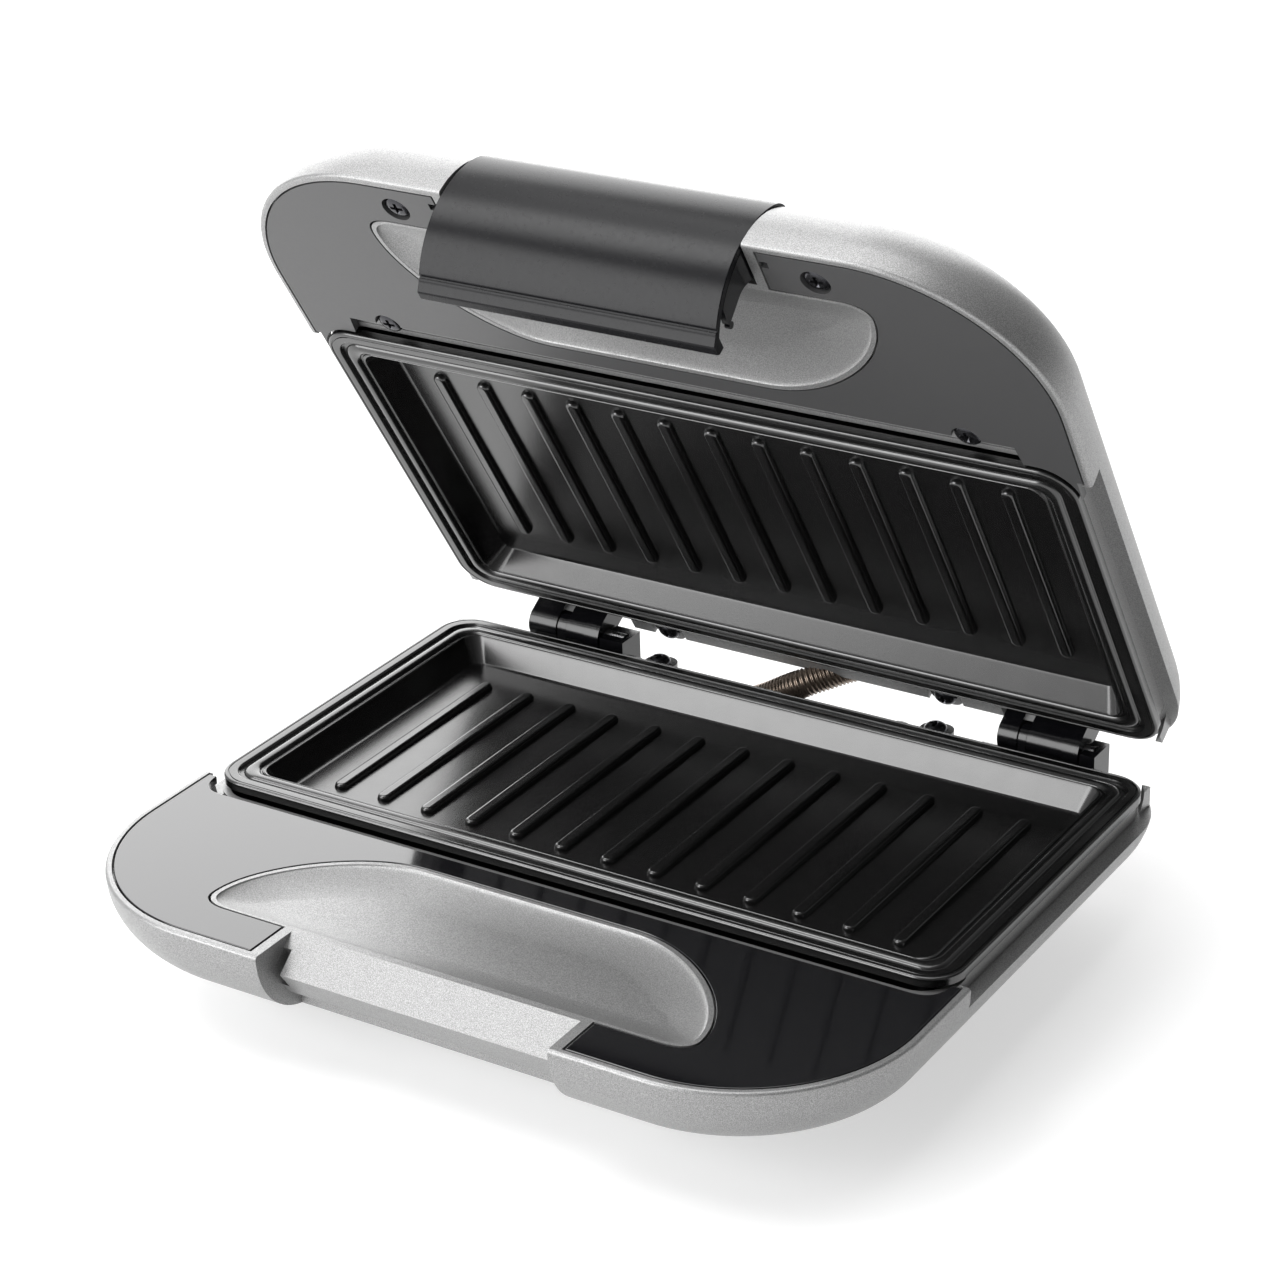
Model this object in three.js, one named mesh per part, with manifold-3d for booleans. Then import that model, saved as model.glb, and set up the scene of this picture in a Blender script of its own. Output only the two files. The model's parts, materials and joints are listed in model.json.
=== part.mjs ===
// Panini press with two ribbed plates, a hinged lid and a latch handle.
// Millimetres, +Z up, front towards -Y. Each half is drawn in its own frame: h is the
// height away from the plane where the halves meet, so the base is a half seen in a mirror.
import * as THREE from 'three';
import { mergeVertices } from 'three/addons/utils/BufferGeometryUtils.js';
import Module from 'manifold-3d';

const wasm = await Module();
wasm.setup();

// ---- driving sizes -----------------------------------------------------------------
const LID_OPEN = 57.37;                     // degrees, the rest pose
const HINGE = { y: 71.54, h: 1.3 };         // lid axis, h below the meeting plane
const LATCH = { y: -121, h: 16 };           // latch axis in the lid's own frame
const ORIGIN = { y: 20.68, z: 38 };         // moves the whole to its base centre

const PLATE = {
  x: 115, y: 61.3, corner: 10, lip: 0.15, flange: 3, floor: 8.6, thick: 3,
  openX: 104.7, openY: 52.2, bottomX: 101, bottomY: 49.4,
};
const RIB = { count: 13, pitch: 14.75, half: 38, r: 2.1, top: 7 };
const SIDE = 119.5;                         // housing half-width
const FRONT = -132.5;                       // housing front
const WALL = 2.5;
const DECK = { x: 117.2, front: -130, corner: 47, cornerY: -83, thick: 2.4 };
const NOTCH = { half: 44, deckHalf: 47.4, y: -117.5 };
const SCREW_X = 46;
const SCREW_Y = 66;
const EAR_H = 3;                            // plate ears, under the rear screw heads
const CONDUIT_R = 4.2;
const GAP = 0.3;

const LOWER = {
  rim: 1.5, front: [22, 22], side: [20, 20], rear: [10, 20], back: 74, ledge: 7.2,
  rail: 5.1, hingeFloor: 13.9, dome: [[26, 27.5], [34, 30.8], [46, 32]],
};
const UPPER = {
  rim: 1.2, front: [24.5, 24.5], side: [20, 24.5], rear: [12, 24.5], back: 74.5, ledge: 7.2,
  rail: 2, hingeFloor: 13.7, dome: [[30, 29.6], [40, 32.6], [54, 34]],
};

// ---- materials -----------------------------------------------------------------------
const look = (color, roughness, metalness) => () =>
  new THREE.MeshStandardMaterial({ color, roughness, metalness });
const silver = look(0xa9abac, 0.42, 0.5);
const gloss = look(0x0b0b0c, 0.12, 0.0);
const nonstick = look(0x131314, 0.32, 0.1);
const grip = look(0x2a2a2e, 0.38, 0.4);
const blackPlastic = look(0x0d0d0e, 0.45, 0.0);
const blackSteel = look(0x17171a, 0.3, 0.8);
const steel = look(0xb5b5b8, 0.3, 1.0);
const sheet = look(0xbfc1c3, 0.35, 0.9);
const ceramic = look(0xe8e2d4, 0.5, 0.0);
const rubber = look(0x1a1a1a, 0.85, 0.0);
const sleeve = look(0x5a524a, 0.4, 0.7);
const redLens = look(0xb3140f, 0.15, 0.0);
const greenLens = look(0x1f8a35, 0.15, 0.0);

// ---- solids --------------------------------------------------------------------------
function solid(geometry) {
  const g = geometry.clone();
  g.deleteAttribute('normal');
  g.deleteAttribute('uv');
  const m = mergeVertices(g, 1e-4);
  return new wasm.Manifold(new wasm.Mesh({
    numProp: 3,
    vertProperties: new Float32Array(m.attributes.position.array),
    triVerts: new Uint32Array(m.index.array),
  }));
}

function toMesh(name, body, material) {
  const out = body.getMesh();
  const g = new THREE.BufferGeometry();
  g.setAttribute('position', new THREE.BufferAttribute(new Float32Array(out.vertProperties), 3));
  g.setIndex(new THREE.BufferAttribute(new Uint32Array(out.triVerts), 1));
  g.computeVertexNormals();
  const mesh = new THREE.Mesh(g, material());
  mesh.name = name;
  return mesh;
}

function box(x0, x1, y0, y1, h0, h1) {
  const g = new THREE.BoxGeometry(x1 - x0, y1 - y0, h1 - h0);
  g.translate((x0 + x1) / 2, (y0 + y1) / 2, (h0 + h1) / 2);
  return solid(g);
}

// A cylinder from h0 to h1 standing at (x, y).
function post(x, y, r0, r1, h0, h1, sides = 20) {
  const g = new THREE.CylinderGeometry(r1, r0, h1 - h0, sides);
  g.rotateX(Math.PI / 2);
  g.translate(x, y, (h0 + h1) / 2);
  return solid(g);
}

// A cylinder along X from x0 to x1, centred on (y, h).
function rod(x0, x1, y, h, r, sides = 20) {
  const g = new THREE.CylinderGeometry(r, r, x1 - x0, sides);
  g.rotateZ(Math.PI / 2);
  g.translate((x0 + x1) / 2, y, h);
  return solid(g);
}

// A plan outline pushed from h0 to h1.
function slab(shape, h0, h1, curveSegments = 8) {
  const g = new THREE.ExtrudeGeometry(shape, { depth: h1 - h0, bevelEnabled: false, curveSegments });
  g.translate(0, 0, h0);
  return solid(g);
}

// A (y, h) outline pushed along X from x0 to x1.
function profile(shape, x0, x1, curveSegments = 16) {
  const g = new THREE.ExtrudeGeometry(shape, { depth: x1 - x0, bevelEnabled: false, curveSegments });
  g.applyMatrix4(new THREE.Matrix4().set(0, 0, 1, x0, 1, 0, 0, 0, 0, 1, 0, 0, 0, 0, 0, 1));
  return solid(g);
}

function tube(points, r, steps, sides = 10) {
  const stops = points.map((p) => new THREE.Vector3(...p));
  const path = new THREE.CatmullRomCurve3(stops, false, 'centripetal');
  const circle = Array.from({ length: sides }, (_, i) => {
    const a = (i / sides) * 2 * Math.PI;
    return new THREE.Vector2(r * Math.cos(a), r * Math.sin(a));
  });
  const section = new THREE.Shape(circle);
  return solid(new THREE.ExtrudeGeometry(section, { steps, extrudePath: path, bevelEnabled: false }));
}

const union = (...bodies) => bodies.reduce((a, b) => a.add(b));
const polygon = (...points) => new THREE.Shape(points.map((p) => new THREE.Vector2(...p)));
const flipX = (points) => points.map(([x, y]) => [-x, y]).reverse();

// Rings of equal length, each a list of [x, y] at its own height, skinned and capped.
function loft(rings) {
  const n = rings[0].points.length;
  const position = [];
  const index = [];
  rings.forEach(({ points, h }) => points.forEach(([x, y]) => position.push(x, y, h)));
  for (let k = 0; k + 1 < rings.length; k += 1) {
    for (let i = 0; i < n; i += 1) {
      const a = k * n + i;
      const b = k * n + (i + 1) % n;
      index.push(a, b, b + n, a, b + n, a + n);
    }
  }
  const cap = THREE.ShapeUtils.triangulateShape(rings[0].points.map((p) => new THREE.Vector2(...p)), []);
  const last = (rings.length - 1) * n;
  cap.forEach(([a, b, c]) => index.push(a, c, b, a + last, b + last, c + last));
  const g = new THREE.BufferGeometry();
  g.setAttribute('position', new THREE.BufferAttribute(new Float32Array(position), 3));
  g.setIndex(index);
  return solid(g);
}

// A rectangle with its own radius at the front and rear corners, counter-clockwise.
function ring(x, front, back, rFront, rBack, nFront = 10, nBack = 5) {
  const points = [];
  const corner = (cx, cy, r, from, n) => {
    for (let i = 0; i <= n; i += 1) {
      const a = THREE.MathUtils.degToRad(from + (90 * i) / n);
      points.push([cx + r * Math.cos(a), cy + r * Math.sin(a)]);
    }
  };
  corner(x - rBack, back - rBack, rBack, 0, nBack);
  corner(-x + rBack, back - rBack, rBack, 90, nBack);
  corner(-x + rFront, front + rFront, rFront, 180, nFront);
  corner(x - rFront, front + rFront, rFront, 270, nFront);
  return points;
}

// Spans along X of each hinge: the lid's two barrels and flange, the base's knuckle and block.
const HINGES = [
  {
    tag: 'l', first: [-93, -83.3], knuckle: [-83, -80], second: [-79.7, -73], flange: [-73, -68],
    block: [-67.6, -59.4],
  },
  {
    tag: 'r', first: [65, 71], knuckle: [71.3, 73.7], second: [74, 85], flange: [85, 90],
    block: [90.4, 95],
  },
];

// ---- housing -------------------------------------------------------------------------
// inset pulls every wall inwards and lift moves the rounded part towards the meeting plane.
function shell(half, inset, lift, top, turns, nFront, nBack) {
  const rings = [];
  const level = (side, front, rear, h) => {
    const f = Math.max(49.5 - inset - 0.55 * Math.max(front, side), 14);
    const r = Math.max(22 - inset - 0.5 * rear, 7);
    const x = SIDE - inset - side;
    const points = ring(x, FRONT + inset + front, half.back - inset - rear, f, r, nFront, nBack);
    rings.push({ points, h });
  };
  level(0, 0, 0, top);
  for (let i = 0; i <= turns; i += 1) {
    const a = (i / turns) * THREE.MathUtils.degToRad(78);
    const part = ([reach]) => reach * (1 - Math.cos(a));
    level(part(half.side), part(half.front), part(half.rear), 2.2 + half.front[1] * Math.sin(a) - lift);
  }
  half.dome.forEach(([reach, h]) => level(reach, reach, reach * 0.62, h - lift));
  return loft(rings);
}

function deckOutline(edge) {
  const s = new THREE.Shape();
  const x = DECK.x + edge;
  const r = DECK.corner + edge;
  s.moveTo(x, -58.5 + edge);
  s.lineTo(x, DECK.cornerY);
  s.absarc(x - r, DECK.cornerY, r, 0, -Math.PI / 2, true);
  s.lineTo(NOTCH.deckHalf - edge, DECK.front - edge);
  s.lineTo(NOTCH.deckHalf - edge, NOTCH.y + 0.5 - edge);
  s.lineTo(-NOTCH.deckHalf + edge, NOTCH.y + 0.5 - edge);
  s.lineTo(-NOTCH.deckHalf + edge, DECK.front - edge);
  s.lineTo(-x + r, DECK.front - edge);
  s.absarc(-x + r, DECK.cornerY, r, -Math.PI / 2, -Math.PI, true);
  s.lineTo(-x, -58.5 + edge);
  return s;
}

// The lower deck stands clear of the plate all along its rear edge.
function lowerDeckShape() {
  const s = deckOutline(0);
  s.lineTo(-114.6, -58.5);
  s.quadraticCurveTo(-114.4, -66.4, -107, -66.4);
  s.lineTo(107, -66.4);
  s.quadraticCurveTo(114.4, -66.4, 114.6, -58.5);
  return s;
}

// The upper deck follows the plate's corners and has a straight slot in front of the plate.
function upperDeckShape() {
  const s = deckOutline(0);
  const r = PLATE.corner + 0.7;
  s.lineTo(-PLATE.x - 0.7, -58.5);
  s.lineTo(-PLATE.x - 0.7, -PLATE.y + PLATE.corner);
  s.absarc(-PLATE.x + PLATE.corner, -PLATE.y + PLATE.corner, r, Math.PI, 1.5 * Math.PI, false);
  s.lineTo(-102, -PLATE.y - 0.7);
  s.lineTo(-101, -68.5);
  s.lineTo(101, -68.5);
  s.lineTo(102, -PLATE.y - 0.7);
  s.lineTo(PLATE.x - PLATE.corner, -PLATE.y - 0.7);
  s.absarc(PLATE.x - PLATE.corner, -PLATE.y + PLATE.corner, r, 1.5 * Math.PI, 2 * Math.PI, false);
  s.lineTo(PLATE.x + 0.7, -58.5);
  return s;
}

// The finger scoop: straight in front, one long curve behind. k pulls it in towards its middle.
function scoopRing(k) {
  const points = [];
  const add = (curve, n) => curve.getPoints(n).slice(0, n).forEach((p) => points.push([p.x, p.y]));
  const v = (x, y) => new THREE.Vector2(x, y);
  const side = new THREE.CubicBezierCurve(v(74.5, -111), v(74.5, -94), v(52, -73.5), v(33, -73.5));
  add(new THREE.CubicBezierCurve(v(66, -116.6), v(71, -116.6), v(74.5, -115), v(74.5, -111)), 3);
  add(side, 7);
  const half = points.slice();
  half.push([33, -73.5]);
  const all = half.concat(flipX(half));
  const cy = -100;
  return all.map(([x, y]) => {
    const reach = Math.hypot(x / 75, (y - cy) / 20);
    return [x - (k * x) / (75 * reach), y - (k * (y - cy)) / (20 * reach) * 0.9];
  });
}

// The scoop's dish, and the body that stands round it (grow is the wall between them).
const scoopCut = (rim) => loft([
  { points: scoopRing(2.3), h: rim - 5 },
  { points: scoopRing(2.3), h: rim },
  { points: scoopRing(3.4), h: rim + 1.2 },
  { points: scoopRing(7), h: rim + 3.4 },
  { points: scoopRing(13), h: rim + 4.6 },
]);
const scoopBody = (rim) => loft([
  { points: scoopRing(0.3), h: rim },
  { points: scoopRing(0.6), h: rim + 3 },
  { points: scoopRing(5), h: rim + 5.6 },
  { points: scoopRing(12), h: rim + 6.8 },
]);

function housing(half, notchOuter, notchInner, slots) {
  const deckFloor = half.rim + DECK.thick + GAP;
  let body = shell(half, 0, 0, half.rim, 5, 9, 4).subtract(shell(half, WALL, WALL, -5, 3, 5, 3));
  const inside = shell(half, 0.9, 0.9, half.rim, 3, 9, 4);
  // Floor under the deck, its upstand behind the slot, and the wall round the plate.
  const floor = slab(deckOutline(1), deckFloor, deckFloor + 2)
    .subtract(box(-130, 130, -64, 0, -10, 20));
  const plateWall = loft([
    { points: ring(114.3, -63.6, 61.1, 11, 11, 4, 4), h: PLATE.lip + PLATE.flange + GAP },
    { points: ring(114.3, -63.6, 61.1, 11, 11, 4, 4), h: 12 },
  ]).subtract(loft([
    { points: ring(112.2, -61.6, 59, 9, 9, 4, 4), h: 0 },
    { points: ring(112.2, -61.6, 59, 9, 9, 4, 4), h: 13 },
  ]));
  // The sides behind the deck are stepped down to a ledge outside the wall round the plate.
  const outsideWall = box(-140, 140, -57.6, 140, -6, half.ledge)
    .subtract(box(-114.3, 114.3, -60, 61.1, -7, half.ledge + 1));
  const ledgeOutline = polygon(...ring(SIDE - 1, -60, half.back - 1, 1, 21, 2, 5));
  const ledge = slab(ledgeOutline, half.ledge, half.ledge + 2)
    .subtract(box(-113.5, 113.5, -61, 60.3, 0, 20));
  const rail = box(-58.6, 58.6, 61.7, 68.6, half.rail, half.ledge + 2)
    .add(box(-58.6, 58.6, 60.6, 62, PLATE.lip + PLATE.flange + 0.4, half.ledge + 2));
  const shelves = union(...HINGES.map(({ first, block }) =>
    box(first[0] - 0.4, block[1] + 0.4, 59.2, 74, half.hingeFloor, half.hingeFloor + 2.4)));
  const windows = union(...HINGES.map(({ first, block }) =>
    box(first[0] - 0.4, block[1] + 0.4, 61.4, 80, -5, half.hingeFloor)));
  body = body.subtract(outsideWall);
  body = union(body, union(floor, plateWall, ledge, shelves).intersect(inside), rail);
  body = body.subtract(windows).subtract(box(-57, 57, 68.6, 90, -5, 8));
  body = body.add(scoopBody(half.rim).intersect(inside));
  // Latch notch in the front.
  const side = NOTCH.deckHalf - 0.35;
  const notchWall = profile(notchInner, -side, side).intersect(inside);
  body = body.add(notchWall).subtract(profile(notchOuter, -NOTCH.half, NOTCH.half));
  if (slots) {
    [-1, 1].forEach((s) => {
      const x = s * 42.7;
      body = body.subtract(box(x - 1.3, x + 1.3, -140, -115.4, 4.2, 40));
    });
  }
  // Deck recess, then the rear screws and the ears under them.
  body = body.subtract(slab(deckOutline(0.35), -5, deckFloor)
    .subtract(box(-114.45, 114.45, -61.4, 0, -10, 20))
    .subtract(slab(polygon(...scoopRing(0.3)), -6, 20)));
  body = body.subtract(box(-130, 130, -64.1, -50, -5, deckFloor)
    .intersect(slab(polygon(...ring(114.4, -64.1, 61.1, 11.1, 11, 4, 4)), -5, deckFloor)));
  body = body.subtract(scoopCut(half.rim));
  [-1, 1].forEach((s) => {
    const x = s * SCREW_X;
    body = body.add(post(x, SCREW_Y, 4, 4, 5.1, 17, 12));
    body = body.subtract(box(x - 7.4, x + 7.4, 55, 72.4, -5, EAR_H + 1.8 + GAP));
    body = body.subtract(post(x, SCREW_Y, 1.9, 1.9, 0, 15, 8));
  });
  return body;
}

// ---- hinges ----------------------------------------------------------------------------
const AXIS_LOW = HINGE.h;                   // in the base's frame the axis lies at h = +1.3
const AXIS_UP = -HINGE.h;                   // and in the lid's frame at h = -1.3

function hingeBracket({ first, knuckle, block }) {
  const y = HINGE.y;
  let body = box(first[0], block[1], 63, 75, 7.6, 13.6);
  body = body.add(rod(knuckle[0], knuckle[1], y, AXIS_LOW, 5, 24));
  body = body.add(box(knuckle[0], knuckle[1], y - 5, y + 3.4, AXIS_LOW, 8));
  body = body.add(box(block[0], block[1], 66.6, 76.6, 0, 9));
  return body.subtract(rod(first[0] - 1, block[1] - 1.6, y, AXIS_LOW, 2.1, 16));
}

function hingeArm({ first, second, flange }) {
  const y = HINGE.y;
  const arm = (x0, x1, r) => union(
    rod(x0, x1, y, AXIS_UP, r, 24),
    box(x0, x1, y - r, y + 2.9, AXIS_UP, 8),
  );
  let body = union(arm(first[0], first[1], 5), arm(second[0], second[1], 5));
  body = body.add(arm(flange[0], flange[1], 5.4));
  body = body.add(box(first[0], flange[1], 64.4, y + 2.9, 7.6, 13.4));
  return body.subtract(rod(first[0] - 1, flange[1] + 1, y, AXIS_UP, 2.1, 16));
}

// ---- conduit ---------------------------------------------------------------------------
// Each half lies on the hinge axis where they meet, so it only twists as the lid turns.
const conduitPath = (axisH) => [
  [-0.2, HINGE.y, axisH], [-5, HINGE.y, axisH], [-11, HINGE.y, axisH + 1],
  [-19, HINGE.y - 2.2, axisH + 6.4], [-27, HINGE.y - 4.4, axisH + 10.9], [-35, HINGE.y - 4.8, axisH + 12],
];
const mirrorPath = (path) => path.map(([x, y, h]) => [-x, y, h]);

// ---- plate, heater and their screws ------------------------------------------------------
const SCREW_PLATE = [-62, 62];

function plate() {
  const { x, y, corner, lip, flange, floor, thick } = PLATE;
  const rounded = (halfX, halfY, r) => ring(halfX, -halfY, halfY, r, r, 5, 5);
  let body = loft([
    { points: rounded(x - 0.5, y - 0.5, corner - 0.5), h: lip },
    { points: rounded(x, y, corner), h: lip + 0.6 },
    { points: rounded(x - 0.4, y - 0.4, corner), h: lip + flange },
    { points: rounded(x - 8, y - 6.6, 7), h: lip + flange },
    { points: rounded(x - 10.6, y - 8.2, 6), h: floor + thick },
  ]);
  const channel = loft([
    { points: rounded(x - 3.4, y - 3.4, corner - 3), h: -1 },
    { points: rounded(x - 3.6, y - 3.6, corner - 3), h: lip + 0.2 },
    { points: rounded(x - 4, y - 4, corner - 3.5), h: lip + 1.1 },
  ]).subtract(loft([
    { points: rounded(x - 5.2, y - 5, 6.5), h: 2 },
    { points: rounded(x - 5.4, y - 5.2, 6.5), h: lip + 0.5 },
    { points: rounded(x - 6.2, y - 6, 6), h: lip },
    { points: rounded(x - 6.2, y - 6, 6), h: -2 },
  ].reverse()));
  const pocket = loft([
    { points: rounded(x - 8.6, y - 8.1, 5), h: -1 },
    { points: rounded(x - 8.6, y - 8.1, 5), h: lip },
    { points: rounded(x - 9.1, y - 8.5, 5), h: lip + 0.7 },
    { points: rounded(PLATE.openX, PLATE.openY, 5), h: lip + 0.8 },
    { points: rounded(PLATE.bottomX, PLATE.bottomY, 3.5), h: floor },
  ]);
  body = body.subtract(channel).subtract(pocket);
  for (let i = 0; i < RIB.count; i += 1) {
    const cx = (i - (RIB.count - 1) / 2) * RIB.pitch;
    const line = (r) => {
      const end = RIB.half + r - RIB.r;
      return ring(r, -end, end, r, r, 2, 2).map(([px, py]) => [px + cx, py]);
    };
    body = body.add(loft([
      { points: line(RIB.r * 0.6), h: RIB.top },
      { points: line(RIB.r), h: floor + 0.5 },
    ]));
  }
  [-1, 1].forEach((s) => {
    const cx = s * SCREW_X;
    body = body.add(box(cx - 7, cx + 7, 58, 71.6, EAR_H, EAR_H + 1.8));
    body = body.subtract(post(cx, SCREW_Y, 1.9, 1.9, 0, 8, 8));
  });
  SCREW_PLATE.forEach((cx) => {
    body = body.add(post(cx, 0, 4, 4, floor + thick - 0.5, 19.8, 14));
    body = body.subtract(post(cx, 0, 1.8, 1.8, 13.6, 21, 12));
  });
  return body;
}

function element() {
  const h = PLATE.floor + PLATE.thick + GAP + 3.3;
  const path = [[88, 30, h], [-52, 30, h]];
  for (let i = 1; i <= 5; i += 1) {
    const a = (i * Math.PI) / 6;
    path.push([-52 - 30 * Math.sin(a), 30 * Math.cos(a), h]);
  }
  path.push([-52, -30, h], [88, -30, h]);
  return tube(path, 3.2, 18, 8);
}

function reflector() {
  const tray = (inset, h0) => [
    { points: ring(99 - inset, -47 + inset, 47 - inset, 5, 5, 2, 2), h: h0 },
    { points: ring(97 - inset, -45 + inset, 45 - inset, 5, 5, 2, 2), h: 20.9 - inset },
  ];
  let body = loft(tray(0, 15)).subtract(loft([
    { points: tray(0.8, 14)[0].points, h: 14 },
    { points: tray(0.8, 15)[1].points, h: 20.1 },
  ]));
  SCREW_PLATE.forEach((x) => {
    body = body.subtract(post(x, 0, 2.2, 2.2, 10, 30, 12));
  });
  return body;
}

// A round-headed screw whose head starts at h = top and whose shank runs on to end.
function screw(x, y, top, headH, headR, shankR, end, slotted = true) {
  const profilePoints = [
    [0, top], [headR * 0.72, top + headH * 0.2], [headR, top + headH], [shankR, top + headH],
    [shankR, end], [0, end],
  ].map((p) => new THREE.Vector2(...p));
  const g = new THREE.LatheGeometry(profilePoints, 12);
  g.rotateX(Math.PI / 2);
  let body = solid(g);
  body = body.translate([x, y, 0]);
  if (slotted) {
    const d = headR * 0.6;
    body = body.subtract(box(x - d, x + d, y - 0.5, y + 0.5, top - 1, top + headH * 0.6));
    body = body.subtract(box(x - 0.5, x + 0.5, y - d, y + d, top - 1, top + headH * 0.6));
  }
  return body;
}

// ---- latch -------------------------------------------------------------------------------
const COVER = { y: -103.2, h: 2.8, r: 28.6, thick: 1.8, half: 43.6 };

function arcPoints(cy, ch, r, from, to, n) {
  const out = [];
  for (let i = 0; i <= n; i += 1) {
    const a = THREE.MathUtils.degToRad(from + ((to - from) * i) / n);
    out.push([cy + r * Math.cos(a), ch + r * Math.sin(a)]);
  }
  return out;
}

function latchCover() {
  const { y, h, r, thick, half } = COVER;
  const lip = [[-119.7, -21.1], [-117.2, -21.1], [-116.4, -20.2], [-116.4, -17.9]];
  const outline = [
    ...arcPoints(y, h, r, 143.5, 231, 16),
    ...lip,
    ...arcPoints(y, h, r - thick, 230.6, 145, 14),
  ];
  const capOuter = arcPoints(LATCH.y, LATCH.h, 6.35, 52, 150, 8);
  const capInner = arcPoints(LATCH.y, LATCH.h, 4.7, 156, 52, 8);
  return union(
    profile(polygon(...outline), -half, half),
    profile(polygon(...capOuter, ...capInner), -half, half),
  );
}

function latchBody() {
  const { y, h, r, thick } = COVER;
  const inner = r - thick - GAP;
  const liner = polygon(...arcPoints(y, h, inner, 152, 198, 8), ...arcPoints(y, h, inner - 2, 198, 152, 8));
  const arm = polygon(
    ...arcPoints(y, h, inner, 152, 216, 8),
    [-118.6, -13.4], [-121.6, -4], [-117.4, 9], [-116.6, 15.4], [-118, 19], [-121, 20.4],
  );
  let body = profile(liner, -43.4, 43.4);
  [-1, 1].forEach((s) => {
    const x = s * 42.7;
    body = body.add(profile(arm, x - 0.8, x + 0.8));
    body = body.add(rod(x - 0.8 - (s > 0 ? 5 : 0), x + 0.8 + (s < 0 ? 5 : 0), LATCH.y, LATCH.h, 4.2, 18));
  });
  return body.subtract(rod(-50, 50, LATCH.y, LATCH.h, 1.8, 16));
}

function latchSpring() {
  const turns = 4;
  const points = [];
  for (let i = 0; i <= turns * 8; i += 1) {
    const a = (i / 8) * 2 * Math.PI;
    points.push([20 + (i / 8) * 1.5, LATCH.y + 2.7 * Math.cos(a), LATCH.h + 2.7 * Math.sin(a)]);
  }
  return tube(points, 0.4, turns * 9, 4);
}

// ---- small internal pieces ---------------------------------------------------------------
const SIDES = [['l', -1], ['r', 1]];
const FEET = [[-62, -76], [62, -76], [-62, 45], [62, 45]];
const DECK_SCREWS = [[-61.6, -122.3], [61.6, -122.3], [-87.9, -68.6], [87.9, -68.6]];
const LENSES = [[-9, -62, 'power_lens', redLens], [9, -62, 'ready_lens', greenLens]];
const GLAND = { x: 30, h: 15.5 };
const BACK_H = PLATE.floor + PLATE.thick;   // the back of a plate

// A cylinder along Y, centred on (x, h).
function rodY(x, h, y0, y1, r, sides = 20) {
  const g = new THREE.CylinderGeometry(r, r, y1 - y0, sides);
  g.translate(x, (y0 + y1) / 2, h);
  return solid(g);
}

function thermostat() {
  return union(
    post(0, 0, 8, 8, BACK_H + GAP, BACK_H + 5.5, 24),
    post(0, 0, 5, 5, BACK_H + 5, BACK_H + 7, 18),
    box(-13, 13, -2.6, 2.6, BACK_H + 4, BACK_H + 4.8),
  );
}

function thermalFuse() {
  const h = BACK_H + GAP + 2.4;
  return union(rod(-7, 7, 0, h, 2.4, 14), rod(-15, 15, 0, h, 0.5, 8));
}

function terminalBlock() {
  let body = box(-16, 16, 30, 41, 23, 29.2);
  [-10.5, 0, 10.5].forEach((x) => {
    body = body.subtract(post(x, 35.5, 2, 2, 20, 26, 10)).subtract(rodY(x, 26.4, 25, 45, 1.2, 8));
  });
  return body;
}

function cordGland() {
  const body = rodY(GLAND.x, GLAND.h, 64, 78, 5, 16).add(rodY(GLAND.x, GLAND.h, 74.3, 76.5, 7, 16));
  return body.subtract(rodY(GLAND.x, GLAND.h, 60, 80, 3.2, 14));
}

// ---- both halves -----------------------------------------------------------------------
const half = { base: new THREE.Group(), lid: new THREE.Group(), latch: new THREE.Group() };
const mirror = (body) => body.scale([1, 1, -1]);
const addBase = (name, body, material) => half.base.add(toMesh(name, mirror(body), material));
const addLid = (name, body, material) => half.lid.add(toMesh(name, body, material));

const lowerNotchOuter = polygon(
  [-117.5, -6], [-117.5, 1.5], [-126.5, 9], [-120.5, 17.5],
  [-115.4, 17.5], [-115.4, 45], [-145, 45], [-145, -6],
);
const lowerNotchInner = polygon(
  [-115, 1.5], [-115, 3], [-123.2, 9.6], [-118.6, 15.1],
  [-112.9, 15.1], [-112.9, 45], [-145, 45], [-145, 1.5],
);
const upperNotchOuter = polygon(
  [-117.5, -6], [-117.5, 4.4], [-113.6, 8], [-113.6, 22.4],
  [-117.6, 22.4], [-117.6, 45], [-145, 45], [-145, -6],
);
const upperNotchInner = polygon(
  [-115.1, 1.2], [-115.1, 5.4], [-111.2, 9], [-111.2, 45], [-145, 45], [-145, 1.2],
);

// Base.
const lowConduit = conduitPath(AXIS_LOW);
let tub = housing(LOWER, lowerNotchOuter, lowerNotchInner, true);
tub = tub.subtract(tube(lowConduit, CONDUIT_R + 0.4, 14));
FEET.forEach(([x, y]) => {
  tub = tub.subtract(post(x, y, 3.3, 3.3, 25, 40, 14));
});
tub = tub.subtract(rodY(GLAND.x, GLAND.h, 60, 80, 5.3));
addBase('base_housing', tub, silver);

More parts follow.
